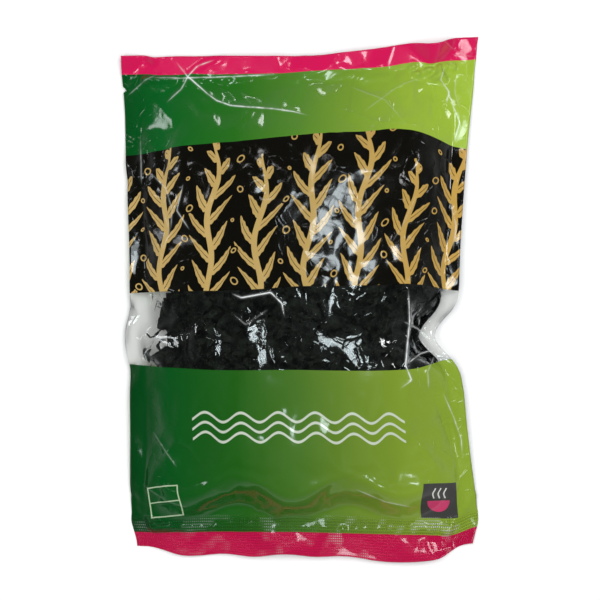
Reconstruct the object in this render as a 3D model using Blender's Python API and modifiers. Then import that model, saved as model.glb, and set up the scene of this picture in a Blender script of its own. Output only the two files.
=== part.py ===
"""A sealed flat pouch of dried wakame, lying on its back.

Two webs of film are pressed together in a seam all round: a narrow strip down each side, a wider one
at the top and a crimped one at the bottom. Between them lies a loose heap of dried seaweed flakes.
X runs across the pouch, Y towards its top seal and Z up, away from the surface that it lies on.
"""

import math
import random

import bmesh
import bpy
import numpy as np
from mathutils import Matrix, Vector

MM = 0.001

# The pouch, in metres
TOP_SEAL = 10.0 * MM
BOTTOM_SEAL = 12.5 * MM
SIDE_SEAL = 7.0 * MM
SEAM_HEIGHT = 6.2 * MM
CROWN_HEIGHT = 21.5 * MM
FILM = 0.4 * MM
FILM_GAP = 0.3 * MM
HALF_LENGTH = 118.2 * MM
HALF_WIDTH = 81.0 * MM

# The top edge is level on the left and rises towards the right
HEAD_Y = 110.0 * MM
HEAD_RISE = 8.2 * MM
HEAD_RISE_FROM, HEAD_RISE_TO = -5.0 * MM, 80.0 * MM

# The bottom edge sags on the right, is scalloped by the crimping and curls up at both corners
BASE_Y = -115.0 * MM
SAG_DEPTH, SAG_X, SAG_SPREAD = 3.2 * MM, 47.0 * MM, 24.0 * MM
SCALLOP_DEPTH, SCALLOP_PITCH, SCALLOP_CREST_X = 0.7 * MM, 31.0 * MM, -56.0 * MM
SCALLOPS_X, SCALLOPS_SPREAD = -20.0 * MM, 50.0 * MM
LEFT_CURL, LEFT_CURL_FROM, LEFT_CURL_TO = 3.6 * MM, -58.0 * MM, -77.0 * MM
RIGHT_CURL, RIGHT_CURL_FROM, RIGHT_CURL_TO = 5.5 * MM, 62.0 * MM, 79.0 * MM

# The sides are drawn in where the pouch is full, and tucked in at the bottom corners
LEFT_X = -76.4 * MM
LEFT_FLARE = 4.4 * MM
LEFT_BULGE, LEFT_BULGE_Y, LEFT_BULGE_SPREAD = 2.4 * MM, -17.0 * MM, 10.0 * MM
LEFT_TUCK, LEFT_TUCK_FROM, LEFT_TUCK_TO = 3.2 * MM, -99.0 * MM, -113.0 * MM
RIGHT_X = 71.5 * MM
RIGHT_FLARE, NARROWEST_Y = 9.3 * MM, 5.0 * MM
RIGHT_DENT, RIGHT_DENT_Y, RIGHT_DENT_SPREAD = 11.5 * MM, -16.0 * MM, 10.5 * MM
RIGHT_TUCK, RIGHT_TUCK_FROM, RIGHT_TUCK_TO = 3.0 * MM, -97.0 * MM, -112.0 * MM
FLARE_ABOVE, FLARE_BELOW = 1.5, 1.8

# Where the fill lifts the film
WALL_REACH = 62.0 * MM
WALL_ROUNDNESS = 0.78
FOOT_Y = -98.0 * MM
FOOT_RUN = 17.0 * MM
FOOT_WAVE, FOOT_WAVE_PITCH, FOOT_WAVE_X = 4.0 * MM, 49.0 * MM, -40.0 * MM
SHOULDER_Y = 99.0 * MM
SHOULDER_RUN = 44.0 * MM
END_ROUNDNESS = 0.9
BACK_SPREAD = 1.35

# Waves of the pressed seam, lumps of the crown
SIDE_WAVE, SIDE_WAVE_PITCH, SIDE_WAVE_TURN = 0.9 * MM, 44.0 * MM, 0.8
END_WAVE, END_WAVE_PITCH, END_WAVE_TURN = 1.3 * MM, 52.0 * MM, 1.9
CORNER_DROOP = 2.6 * MM
LUMP, LUMP_RUN_X, LUMP_RUN_Y = 0.8 * MM, 15.0 * MM, 19.0 * MM
SWELL, SWELL_RUN, SWELL_SLANT = 0.7 * MM, 31.0 * MM, 0.7

# The tear notch in the left edge, near the top
NOTCH_Y = 94.8 * MM
NOTCH_DEPTH = 1.8 * MM

# The heap of seaweed
HEAP_LEFT = -60.5 * MM
HEAP_RIGHT = 59.0 * MM
HEAP_BASE = -92.0 * MM
HEAP_HEAD = 84.0 * MM
HEAP_CLEARANCE = 2.8 * MM
FLAKE_CLEARANCE = 1.1 * MM
SEAM_CLEARANCE = 3.0 * MM
HEAP_TRIM = 0.97
HEAP_SQUARENESS = 4
HEAP_FLATNESS = 0.45
FLAKE_THICKNESS = 0.9 * MM
FLAKE_LIFT = 0.4 * MM
HEAP_FLAKES = 84
SEED = 7

# How finely the webs are divided, and how much the grid lines crowd towards the seams
COLUMNS, ROWS, SEAL_STEPS = 25, 37, 2
CROWDING = 0.6

PRINT_GREEN = (0.18, 0.38, 0.06)
SEAWEED = (0.012, 0.016, 0.012)


def ramp(value, start, end):
    """0 before start and 1 after end, with a smooth rise between them."""
    t = np.clip((value - start) / (end - start), 0.0, 1.0)
    return t * t * (3 - 2 * t)


def bump(value, centre, spread):
    """A smooth hump of height 1."""
    return np.exp(-(((value - centre) / spread) ** 2))


def top_edge(x):
    """The cut edge of the top seal, which rises towards the right."""
    return HEAD_Y + HEAD_RISE * ramp(x, HEAD_RISE_FROM, HEAD_RISE_TO)


def bottom_edge(x):
    """The cut edge of the crimped seal, which sags on the right and curls up at both corners."""
    sag = SAG_DEPTH * bump(x, SAG_X, SAG_SPREAD)
    scallop = SCALLOP_DEPTH * np.cos(2 * math.pi * (x - SCALLOP_CREST_X) / SCALLOP_PITCH)
    left_curl = LEFT_CURL * ramp(x, LEFT_CURL_FROM, LEFT_CURL_TO)
    right_curl = RIGHT_CURL * ramp(x, RIGHT_CURL_FROM, RIGHT_CURL_TO)
    return BASE_Y - sag - scallop * bump(x, SCALLOPS_X, SCALLOPS_SPREAD) + left_curl + right_curl


def left_edge(y):
    """The left side, drawn in where the pouch is full."""
    flare = LEFT_FLARE * (np.clip(y, 0, None) / HEAD_Y) ** FLARE_ABOVE
    bulge = LEFT_BULGE * bump(y, LEFT_BULGE_Y, LEFT_BULGE_SPREAD)
    tuck = LEFT_TUCK * ramp(y, LEFT_TUCK_FROM, LEFT_TUCK_TO)
    return LEFT_X - flare - bulge + tuck


def right_edge(y):
    """The right side, drawn in where the pouch is full and dented beside the window."""
    above = np.clip((y - NARROWEST_Y) / (HALF_LENGTH - NARROWEST_Y), 0, None) ** FLARE_ABOVE
    below = np.clip((y - NARROWEST_Y) / (RIGHT_TUCK_FROM - NARROWEST_Y), 0, 1) ** FLARE_BELOW
    dent = RIGHT_DENT * bump(y, RIGHT_DENT_Y, RIGHT_DENT_SPREAD)
    tuck = RIGHT_TUCK * ramp(y, RIGHT_TUCK_FROM, RIGHT_TUCK_TO)
    return RIGHT_X + RIGHT_FLARE * (above + below) - dent - tuck


def wall(distance):
    """How far the film has risen towards the crown at this distance inside a side seam."""
    t = np.clip(distance / WALL_REACH, 0.0, 1.0)
    return (1 - (1 - t) ** 3) ** WALL_ROUNDNESS


def fill_share(x, y):
    """0 on the seams and in the headspace, 1 on the crown."""
    across = wall(x - left_edge(y) - SIDE_SEAL) * wall(right_edge(y) - SIDE_SEAL - x)
    foot = FOOT_Y + FOOT_WAVE * np.sin(2 * math.pi * (x - FOOT_WAVE_X) / FOOT_WAVE_PITCH)
    along = ramp(y, foot, foot + FOOT_RUN) ** END_ROUNDNESS
    shoulder = ramp(y, SHOULDER_Y, SHOULDER_Y - SHOULDER_RUN) ** END_ROUNDNESS
    return across * along * shoulder


def seam_height(x, y):
    """The height of the pressed seam: wavy down the sides and at both ends, low at the corners."""
    across, along = np.abs(x) / HALF_WIDTH, np.abs(y) / HALF_LENGTH
    side_wave = SIDE_WAVE * np.sin(2 * math.pi * y / SIDE_WAVE_PITCH + SIDE_WAVE_TURN) * across**2
    end_wave = END_WAVE * np.sin(2 * math.pi * x / END_WAVE_PITCH + END_WAVE_TURN) * along**4
    droop = CORNER_DROOP * (across * along) ** 5
    return SEAM_HEIGHT + side_wave + end_wave - droop


def crown_height(x, y):
    """The top of the full part, lumpy from the heap below it."""
    lumps = np.sin(x / LUMP_RUN_X + 0.6) * np.sin(y / LUMP_RUN_Y + 1.1)
    swell = np.sin((x + SWELL_SLANT * y) / SWELL_RUN)
    return CROWN_HEIGHT + LUMP * lumps + SWELL * swell


def front_height(x, y):
    """The inner face of the front web."""
    seam = seam_height(x, y) + FILM_GAP / 2
    return seam + (crown_height(x, y) - FILM - seam) * fill_share(x, y)


def back_height(x, y):
    """The inner face of the back web, which lies flat on the surface under the heap."""
    seam = seam_height(x, y) - FILM_GAP / 2
    resting = np.clip(BACK_SPREAD * fill_share(x, y), 0, 1)
    resting = 1 - (1 - resting) ** 2
    return seam + (FILM - seam) * resting


def spaced(length, seal_start, seal_end, count):
    """Grid lines across a web: on both cut edges and seam edges, and closer near the seams."""
    t = np.linspace(0, 1, count)
    crowded = (1 - CROWDING) * t + CROWDING * (1 - np.cos(math.pi * t)) / 2
    inner = seal_start + (length - seal_start - seal_end) * crowded
    before = np.linspace(0, seal_start, SEAL_STEPS, endpoint=False)
    after = length - before[::-1] * seal_end / seal_start
    return np.concatenate([before, inner, after]) / length


def film_point(across, along):
    """The place seen from above of a point at these shares of the web's width and length."""
    nominal = (2 * across - 1) * HALF_WIDTH
    y = bottom_edge(nominal) + (top_edge(nominal) - bottom_edge(nominal)) * along
    x = left_edge(y) + (right_edge(y) - left_edge(y)) * across
    return x, y


def material(name, colour, roughness):
    made = bpy.data.materials.new(name)
    made.use_nodes = True
    shader = made.node_tree.nodes["Principled BSDF"]
    shader.inputs["Base Color"].default_value = (*colour, 1)
    shader.inputs["Roughness"].default_value = roughness
    made.diffuse_color = (*colour, 1)
    return made


def move_to(collection, obj):
    for owner in list(obj.users_collection):
        owner.objects.unlink(obj)
    collection.objects.link(obj)


def into_pouch(obj, finish):
    """Puts the object in the pouch's collection, with its finish."""
    move_to(pouch, obj)
    obj.data.materials.clear()
    obj.data.materials.append(finish)
    obj.data.shade_smooth()
    return obj


def new_object(name, bm):
    mesh = bpy.data.meshes.new(name)
    bm.to_mesh(mesh)
    bm.free()
    obj = bpy.data.objects.new(name, mesh)
    bpy.context.scene.collection.objects.link(obj)
    return obj


def web(name, height, faces_up, finish):
    """One web of film: a grid laid on its inner face and thickened outwards."""
    columns = spaced(2 * HALF_WIDTH, SIDE_SEAL, SIDE_SEAL, COLUMNS)
    rows = spaced(2 * HALF_LENGTH, BOTTOM_SEAL, TOP_SEAL, ROWS)
    bm = bmesh.new()
    bmesh.ops.create_grid(bm, x_segments=len(columns) - 1, y_segments=len(rows) - 1, size=0.5)
    for vertex in bm.verts:
        column = round((vertex.co.x + 0.5) * (len(columns) - 1))
        row = round((vertex.co.y + 0.5) * (len(rows) - 1))
        x, y = film_point(columns[column], rows[row])
        vertex.co = (x, y, height(x, y))
    if not faces_up:
        bmesh.ops.reverse_faces(bm, faces=bm.faces)
    obj = into_pouch(new_object(name, bm), finish)
    thicken = obj.modifiers.new("film thickness", "SOLIDIFY")
    thicken.thickness = FILM
    thicken.offset = 1.0
    return obj


def cut_notch(films):
    """The tear notch: one three-sided cutter through the left edge of both webs."""
    bpy.ops.mesh.primitive_cylinder_add(vertices=3, radius=NOTCH_DEPTH, depth=4 * SEAM_HEIGHT)
    cutter = bpy.context.object
    cutter.name = "notch_cutter"
    point_inwards = Matrix.Rotation(-math.pi / 2, 4, "Z")
    cutter.data.transform(point_inwards)
    cutter.location = (left_edge(NOTCH_Y), NOTCH_Y, SEAM_HEIGHT)
    cutter.hide_render = True
    cutter.display_type = "WIRE"
    move_to(cutters, cutter)
    for film in films:
        cut = film.modifiers.new("tear notch", "BOOLEAN")
        cut.operation = "DIFFERENCE"
        cut.object = cutter


def inside_seams(x, y):
    """x, moved in where it would come too near a side seam."""
    inside = SIDE_SEAL + SEAM_CLEARANCE
    return min(max(x, left_edge(y) + inside), right_edge(y) - inside)


def kept_inside(point, clearance):
    """The point, moved in from the side seams and up or down so that it clears both webs."""
    x = inside_seams(point.x, point.y)
    low = back_height(x, point.y) + clearance
    high = front_height(x, point.y) - clearance
    return Vector((x, point.y, min(max(point.z, low), high)))


def heap_core():
    """The packed middle of the heap: a sphere pressed into the space between the webs."""
    bm = bmesh.new()
    bmesh.ops.create_uvsphere(bm, u_segments=44, v_segments=14, radius=1.0)
    centre = Vector(((HEAP_LEFT + HEAP_RIGHT) / 2, (HEAP_BASE + HEAP_HEAD) / 2, 0))
    reach = Vector(((HEAP_RIGHT - HEAP_LEFT) / 2, (HEAP_HEAD - HEAP_BASE) / 2, 0))
    for vertex in bm.verts:
        side = vertex.co.copy()
        turn = math.atan2(side.y, side.x)
        out = math.hypot(side.x, side.y)
        power = HEAP_SQUARENESS
        corner = (abs(math.cos(turn)) ** power + abs(math.sin(turn)) ** power) ** (-1 / power)
        ragged = 1 + 0.018 * math.sin(9 * turn) + 0.016 * math.sin(23 * turn + 1)
        out *= HEAP_TRIM * corner * ragged
        x = centre.x + reach.x * out * math.cos(turn)
        y = centre.y + reach.y * out * math.sin(turn)
        x = inside_seams(x, y)
        low, high = back_height(x, y) + FLAKE_CLEARANCE, front_height(x, y) - HEAP_CLEARANCE
        share = 0.5 + 0.5 * math.copysign(abs(side.z) ** HEAP_FLATNESS, side.z)
        vertex.co = (x, y, low + (high - low) * share)
    return into_pouch(new_object("wakame_heap", bm), seaweed)


def flake(name, centre, length, width, heading, curl, lift, segments=5):
    """A dried flake: a thin blade, curled along its length, waved and narrowed at its ends."""
    bm = bmesh.new()
    bmesh.ops.create_cube(bm, size=1.0)
    crosswise = [e for e in bm.edges if abs(e.verts[0].co.x - e.verts[1].co.x) > 0.5]
    bmesh.ops.subdivide_edges(bm, edges=crosswise, cuts=segments - 1, use_grid_fill=True)
    along = Vector((math.cos(heading), math.sin(heading), 0))
    beside = Vector((-math.sin(heading), math.cos(heading), 0))
    for vertex in bm.verts:
        t, side, face = vertex.co.x, vertex.co.y, vertex.co.z
        taper = 1 - 0.55 * (2 * abs(t)) ** 2
        turn = curl * t
        run = length * (math.sin(turn) / curl if curl else t)
        rise = length * ((1 - math.cos(turn)) / curl if curl else 0)
        wave = 0.22 * width * math.sin(3 * math.pi * t + heading)
        point = centre + along * run + beside * (side * width * taper + rise)
        point.z += lift * (2 * t) ** 2 + face * FLAKE_THICKNESS + wave * side
        vertex.co = kept_inside(point, FLAKE_CLEARANCE)
    bmesh.ops.triangulate(bm, faces=bm.faces)
    return new_object(name, bm)


def heap_flakes(rng):
    """Flakes that stand out of the heap: round its rim, and over the top beside the window."""
    made = []
    while len(made) < HEAP_FLAKES:
        if len(made) % 2:
            y = rng.uniform(-36 * MM, 6 * MM)
            x = rng.uniform(HEAP_LEFT + 6 * MM, HEAP_RIGHT - 10 * MM)
            z = front_height(x, y) - HEAP_CLEARANCE + 0.2 * MM
        else:
            y = rng.uniform(HEAP_BASE + 10 * MM, HEAP_HEAD - 12 * MM)
            x = rng.choice([HEAP_LEFT + 3 * MM, min(HEAP_RIGHT, right_edge(y) - 14 * MM) - 3 * MM])
            z = (front_height(x, y) + back_height(x, y)) / 2
        size = rng.uniform(8, 14) * MM
        width = rng.uniform(2.6, 4.0) * MM
        heading, curl = rng.uniform(0, math.pi), rng.uniform(-1.6, 1.6)
        made.append(flake("flake", Vector((x, y, z)), size, width, heading, curl, FLAKE_LIFT))
    return made


def join_into(core, pieces):
    """One Boolean union fuses the flakes into the core, and is applied."""
    group = bpy.data.collections.new("flakes")
    bpy.context.scene.collection.children.link(group)
    for piece in pieces:
        move_to(group, piece)
    union = core.modifiers.new("fuse flakes", "BOOLEAN")
    union.operation = "UNION"
    union.operand_type = "COLLECTION"
    union.collection = group
    union.solver = "MANIFOLD"
    bpy.context.view_layer.objects.active = core
    bpy.ops.object.modifier_apply(modifier=union.name)
    for piece in pieces:
        bpy.data.objects.remove(piece)
    bpy.data.collections.remove(group)


def keep_outer_shell(obj):
    """Fills the pockets that fusing sealed and drops loose scraps: only the largest shell stays."""
    bm = bmesh.new()
    bm.from_mesh(obj.data)
    unseen = set(bm.verts)
    shells = []
    while unseen:
        reached = [unseen.pop()]
        shell = set(reached)
        while reached:
            vertex = reached.pop()
            near = {edge.other_vert(vertex) for edge in vertex.link_edges} & unseen
            unseen -= near
            shell |= near
            reached.extend(near)
        shells.append(shell)
    largest = max(shells, key=len)
    scraps = [v for shell in shells if shell is not largest for v in shell]
    bmesh.ops.delete(bm, geom=scraps, context="VERTS")
    bm.to_mesh(obj.data)
    bm.free()


# The loose flakes seen beside the heap: place, length, width, heading and curl
LOOSE_FLAKES = [
    ("loose_flake_strand", (-66.6, -15.5), 5.0, 1.3, 0.15, 0.5),
    ("loose_flake_hook", (-66.3, -25.0), 6.5, 1.6, -1.00, 1.6),
]


for old in list(bpy.data.objects):
    bpy.data.objects.remove(old)
pouch = bpy.data.collections.new("wakame pouch")
cutters = bpy.data.collections.new("cutters")
bpy.context.scene.collection.children.link(pouch)
bpy.context.scene.collection.children.link(cutters)

printed = material("printed film", PRINT_GREEN, 0.18)
plain = material("back film", PRINT_GREEN, 0.22)
seaweed = material("dried seaweed", SEAWEED, 0.6)

front = web("front_film", front_height, True, printed)
back = web("back_film", back_height, False, plain)
cut_notch([front, back])

rng = random.Random(SEED)
heap = heap_core()
join_into(heap, heap_flakes(rng))
keep_outer_shell(heap)
for name, (x, y), length, width, heading, curl in LOOSE_FLAKES:
    place = Vector((x * MM, y * MM, 0))
    place.z = float(front_height(place.x, place.y) + back_height(place.x, place.y)) / 2
    piece = flake(name, place, length * MM, width * MM, heading, curl, FLAKE_LIFT, segments=7)
    into_pouch(piece, seaweed)
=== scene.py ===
import math
import random

import bpy
import numpy as np
from mathutils import Euler, Matrix, Vector, noise
from mathutils.bvhtree import BVHTree


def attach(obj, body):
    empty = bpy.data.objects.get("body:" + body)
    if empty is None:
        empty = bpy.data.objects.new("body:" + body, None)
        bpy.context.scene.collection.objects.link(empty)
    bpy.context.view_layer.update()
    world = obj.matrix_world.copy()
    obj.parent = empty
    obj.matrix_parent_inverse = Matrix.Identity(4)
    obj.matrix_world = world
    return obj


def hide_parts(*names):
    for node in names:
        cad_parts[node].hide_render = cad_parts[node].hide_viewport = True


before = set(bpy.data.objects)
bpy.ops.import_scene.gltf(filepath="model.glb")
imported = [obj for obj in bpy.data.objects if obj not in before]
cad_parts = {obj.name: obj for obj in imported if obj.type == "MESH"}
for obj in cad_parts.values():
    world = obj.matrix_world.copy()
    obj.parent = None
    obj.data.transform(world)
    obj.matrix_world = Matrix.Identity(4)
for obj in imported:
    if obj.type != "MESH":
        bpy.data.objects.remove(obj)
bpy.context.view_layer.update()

# A sealed flat pouch of dried wakame, lying on its back. The film is laid out on a grid of cells whose
# rows follow the edges of the printed bands, settled by a cloth simulation that buckles it along its
# seams, and creased along listed lines. X runs across the pouch, Y towards its top seal and Z up.

MM = 0.001

# The pouch
SIDE_SEAL = 7.0 * MM
SEAM_HEIGHT = 6.2 * MM
CROWN_HEIGHT = 21.4 * MM
HALF_LENGTH = 118.2 * MM
HALF_WIDTH = 81.0 * MM
FILM = 0.12 * MM
FILM_GAP = 0.12 * MM

# The top edge rises towards the right. The bottom edge sags, is scalloped and curls up at both corners.
HEAD_Y, HEAD_RISE = 110.0 * MM, 8.2 * MM
HEAD_RISE_FROM, HEAD_RISE_TO = -5 * MM, 80 * MM
BASE_Y = -115.0 * MM
SAG, SAG_X, SAG_SPREAD = 3.2 * MM, 47 * MM, 24 * MM
SCALLOP, SCALLOP_PITCH, SCALLOP_SHIFT = 0.7 * MM, 31 * MM, 56 * MM
SCALLOPS_X, SCALLOPS_SPREAD = -20 * MM, 50 * MM
LEFT_CURL, LEFT_CURL_FROM, LEFT_CURL_TO = 3.6 * MM, 58 * MM, 77 * MM
RIGHT_CURL, RIGHT_CURL_FROM, RIGHT_CURL_TO = 5.5 * MM, 62 * MM, 79 * MM

# The sides flare towards both ends, bulge or dent beside the window, and are tucked in at the bottom
LEFT_X, LEFT_FLARE = -76.4 * MM, 4.4 * MM
LEFT_BULGE, LEFT_BULGE_Y, LEFT_BULGE_SPREAD = 2.4 * MM, -17 * MM, 10 * MM
LEFT_TUCK, LEFT_TUCK_FROM, LEFT_TUCK_TO = 3.2 * MM, 99 * MM, 113 * MM
RIGHT_X, RIGHT_FLARE = 71.5 * MM, 9.3 * MM
NARROWEST_Y, FLARE_RUN_ABOVE, FLARE_RUN_BELOW = 5 * MM, 113.2 * MM, 102 * MM
RIGHT_DENT, RIGHT_DENT_Y, RIGHT_DENT_SPREAD = 11.5 * MM, -16 * MM, 10.5 * MM
RIGHT_TUCK, RIGHT_TUCK_FROM, RIGHT_TUCK_TO = 3.0 * MM, 97 * MM, 112 * MM
FLARE_ABOVE, FLARE_BELOW = 1.5, 1.8

# Where the fill lifts the film. Beside the window the film rises more gently.
WALL_REACH, WALL_ROUNDNESS = 62.0 * MM, 0.78
WINDOW_Y, WINDOW_EASE, WINDOW_EASE_SPREAD = -13.0 * MM, 0.75, 24 * MM
FOOT_Y, FOOT_RUN = -98.0 * MM, 17.0 * MM
FOOT_WAVE, FOOT_WAVE_PITCH, FOOT_WAVE_SHIFT = 4.0 * MM, 49 * MM, 40 * MM
SHOULDER_Y, SHOULDER_RUN = 99.0 * MM, 44.0 * MM
END_ROUNDNESS = 0.9
BACK_SPREAD = 1.35
BACK_HEIGHT = 0.4 * MM

# Waves of the seams and lumps of the crown
SIDE_WAVE, SIDE_WAVE_PITCH, SIDE_WAVE_TURN = 0.9 * MM, 44 * MM, 0.8
END_WAVE, END_WAVE_PITCH, END_WAVE_TURN = 1.3 * MM, 52 * MM, 1.9
CORNER_DROOP = 2.6 * MM
LUMP, LUMP_RUN_X, LUMP_RUN_Y = 0.8 * MM, 15 * MM, 19 * MM
SWELL, SWELL_RUN, SWELL_SLANT = 0.7 * MM, 31 * MM, 0.7

# The tear notch in the left edge
NOTCH_Y, NOTCH_DEPTH = 94.8 * MM, 1.8 * MM
NOTCH_HALF_WIDTH, NOTCH_FADE = 1.3 * MM, 4.5 * MM

FLAT_WIDTH = 162.5 * MM
SEAM_CELLS = 4
POUCH_CELLS = 82
COLUMNS = POUCH_CELLS + 2 * SEAM_CELLS

# Each band of the film from the bottom edge up: its height on the flat film in millimetres, and its cells.
BANDS = ((12.5, 7), (76.0, 42), (36.0, 20), (66.0, 36), (35.0, 19), (10.0, 6))
ROWS = sum(cells for height, cells in BANDS)
FLAT_LENGTH = sum(height for height, cells in BANDS) * MM
WINDOW_ROWS = (BANDS[0][1] + BANDS[1][1], BANDS[0][1] + BANDS[1][1] + BANDS[2][1])

# Where the edges between those bands lie on the filled pouch, across and along in millimetres.
BAND_EDGES = (
    ((-75.2, -105.1), (-52.2, -104.2), (0.0, -104.2), (22.5, -105.1), (54.0, -105.6), (69.8, -106.5),
     (78.8, -102.0)),
    ((-76.5, -28.6), (-64.4, -30.0), (-38.3, -30.9), (0.0, -30.9), (41.4, -31.8), (51.8, -31.6),
     (59.9, -28.6), (65.7, -26.4), (68.4, -25.9)),
    ((-76.5, 3.3), (-50.0, 3.6), (-18.9, 4.7), (0.0, 6.0), (43.6, 6.0), (70.6, 4.7)),
    ((-80.0, 63.6), (-71.6, 64.5), (-58.5, 66.8), (-44.1, 68.6), (-21.2, 70.4), (0.0, 72.2),
     (9.9, 73.1), (37.8, 74.4), (47.7, 73.5), (60.3, 70.8), (66.6, 68.6), (74.7, 67.7)),
    ((-81.0, 100.7), (-52.6, 100.5), (-9.0, 101.4), (34.6, 104.0), (56.2, 106.0), (80.1, 107.4)),
)


def ramp(value, start, end):
    """Runs smoothly from 0 at start to 1 at end."""
    t = np.clip((value - start) / (end - start), 0.0, 1.0)
    return t * t * (3 - 2 * t)


def bump(value, centre, spread):
    return np.exp(-(((value - centre) / spread) ** 2))


def top_edge(x):
    return HEAD_Y + HEAD_RISE * ramp(x, HEAD_RISE_FROM, HEAD_RISE_TO)


def bottom_edge(x):
    sag = SAG * bump(x, SAG_X, SAG_SPREAD)
    scallop = SCALLOP * np.cos(2 * math.pi * (x + SCALLOP_SHIFT) / SCALLOP_PITCH)
    left_curl = LEFT_CURL * ramp(-x, LEFT_CURL_FROM, LEFT_CURL_TO)
    curl = left_curl + RIGHT_CURL * ramp(x, RIGHT_CURL_FROM, RIGHT_CURL_TO)
    return BASE_Y - sag - scallop * bump(x, SCALLOPS_X, SCALLOPS_SPREAD) + curl


def left_edge(y):
    flare = LEFT_FLARE * (np.clip(y, 0, None) / HEAD_Y) ** FLARE_ABOVE
    tuck = LEFT_TUCK * ramp(-y, LEFT_TUCK_FROM, LEFT_TUCK_TO)
    return LEFT_X - flare - LEFT_BULGE * bump(y, LEFT_BULGE_Y, LEFT_BULGE_SPREAD) + tuck


def right_edge(y):
    above = np.clip((y - NARROWEST_Y) / FLARE_RUN_ABOVE, 0, None) ** FLARE_ABOVE
    below = np.clip((NARROWEST_Y - y) / FLARE_RUN_BELOW, 0, None) ** FLARE_BELOW
    flare = RIGHT_FLARE * (above + np.minimum(below, 1))
    tuck = RIGHT_TUCK * ramp(-y, RIGHT_TUCK_FROM, RIGHT_TUCK_TO)
    return RIGHT_X + flare - tuck - RIGHT_DENT * bump(y, RIGHT_DENT_Y, RIGHT_DENT_SPREAD)


def wall(distance, ease=0.0):
    """How far the film has risen towards its crown at this distance inside a side seam."""
    t = np.clip(distance / WALL_REACH, 0.0, 1.0)
    return (1 - (1 - t) ** 3) ** (WALL_ROUNDNESS + ease)


def fill_share(x, y):
    """0 on the seams and 1 where the pouch is full."""
    ease = WINDOW_EASE * bump(y, WINDOW_Y, WINDOW_EASE_SPREAD)
    across = wall(x - left_edge(y) - SIDE_SEAL, ease) * wall(right_edge(y) - SIDE_SEAL - x)
    foot = FOOT_Y + FOOT_WAVE * np.sin(2 * math.pi * (x + FOOT_WAVE_SHIFT) / FOOT_WAVE_PITCH)
    along = ramp(y, foot, foot + FOOT_RUN) ** END_ROUNDNESS
    shoulder = ramp(-y, -SHOULDER_Y, -SHOULDER_Y + SHOULDER_RUN) ** END_ROUNDNESS
    return across * along * shoulder


def seam_height(x, y):
    across, along = np.abs(x) / HALF_WIDTH, np.abs(y) / HALF_LENGTH
    side_wave = SIDE_WAVE * np.sin(2 * math.pi * y / SIDE_WAVE_PITCH + SIDE_WAVE_TURN) * across**2
    end_wave = END_WAVE * np.sin(2 * math.pi * x / END_WAVE_PITCH + END_WAVE_TURN) * along**4
    droop = CORNER_DROOP * (across * along) ** 5
    return SEAM_HEIGHT + side_wave + end_wave - droop


def front_height(x, y):
    lumps = np.sin(x / LUMP_RUN_X + 0.6) * np.sin(y / LUMP_RUN_Y + 1.1)
    swell = np.sin((x + SWELL_SLANT * y) / SWELL_RUN)
    crown = CROWN_HEIGHT + LUMP * lumps + SWELL * swell
    seam = seam_height(x, y)
    return seam + (crown - seam) * fill_share(x, y)


def back_height(x, y):
    resting = 1 - (1 - np.clip(BACK_SPREAD * fill_share(x, y), 0, 1)) ** 2
    seam = seam_height(x, y)
    return seam + (BACK_HEIGHT - seam) * resting


def rounded(values, run):
    """Evens out a row of numbers over this many steps to each side."""
    spread = np.exp(-((np.arange(-2 * run, 2 * run + 1) / run) ** 2))
    return np.convolve(np.pad(values, 2 * run, mode="edge"), spread / spread.sum(), mode="valid")


LINE_REACH, LINE_SPOTS, LINE_ROUNDING = 95 * MM, 381, 8


def smooth_line(points, x):
    """A line through points given in millimetres, with its corners rounded off."""
    places, heights = np.array(points).T * MM
    fine = np.linspace(-LINE_REACH, LINE_REACH, LINE_SPOTS)
    return np.interp(x, fine, rounded(np.interp(fine, places, heights), LINE_ROUNDING))


def band_lines(x, nominal):
    """Heights of the bottom edge, of the edges between the bands and of the top edge, over x."""
    inner = [smooth_line(points, x) for points in BAND_EDGES]
    return [bottom_edge(nominal), *inner, top_edge(nominal)]


def row_heights(x, nominal):
    lines = band_lines(x, nominal)
    heights = [lines[0][:, 0]]
    row = 0
    for band, (height, cells) in enumerate(BANDS):
        for cell in range(1, cells + 1):
            row += 1
            share = cell / cells
            heights.append(lines[band][:, row] * (1 - share) + lines[band + 1][:, row] * share)
    return np.stack(heights, axis=1)


def film_layout(height_at):
    """X, Y and Z of every crossing of the film's grid, in equal steps over the curve of the film."""
    nominal = np.repeat(np.linspace(-HALF_WIDTH, HALF_WIDTH, COLUMNS + 1)[:, None], ROWS + 1, axis=1)
    x = nominal
    seam_steps = np.arange(SEAM_CELLS + 1) / SEAM_CELLS * SIDE_SEAL
    inside = slice(SEAM_CELLS, COLUMNS - SEAM_CELLS + 1)
    for _ in range(5):
        y = row_heights(x, nominal)
        left, right = left_edge(y), right_edge(y)
        x = left + (right - left) * np.linspace(0, 1, COLUMNS + 1)[:, None]
        z = height_at(x, y)
        run = np.hypot(np.diff(x[inside], axis=0), np.diff(z[inside], axis=0))
        for row in range(ROWS + 1):
            walked = np.concatenate([[0.0], np.cumsum(run[:, row])])
            start = left[SEAM_CELLS, row] + SIDE_SEAL
            end = right[COLUMNS - SEAM_CELLS, row] - SIDE_SEAL
            spaced = np.interp(np.linspace(0, walked[-1], POUCH_CELLS + 1), walked, x[inside, row])
            low, high = spaced[0], spaced[-1]
            x[inside, row] = start + (spaced - low) * (end - start) / (high - low)
            x[: SEAM_CELLS + 1, row] = left[: SEAM_CELLS + 1, row] + seam_steps
            x[-SEAM_CELLS - 1 :, row] = right[-SEAM_CELLS - 1 :, row] - seam_steps[::-1]
    y = row_heights(x, nominal)
    return np.stack([x, y, height_at(x, y)], axis=-1)


def choose(piece):
    """Makes this the only selected object and the active one."""
    bpy.ops.object.select_all(action="DESELECT")
    piece.select_set(True)
    bpy.context.view_layer.objects.active = piece


def shade_smooth(piece):
    choose(piece)
    bpy.ops.object.shade_smooth()


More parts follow.
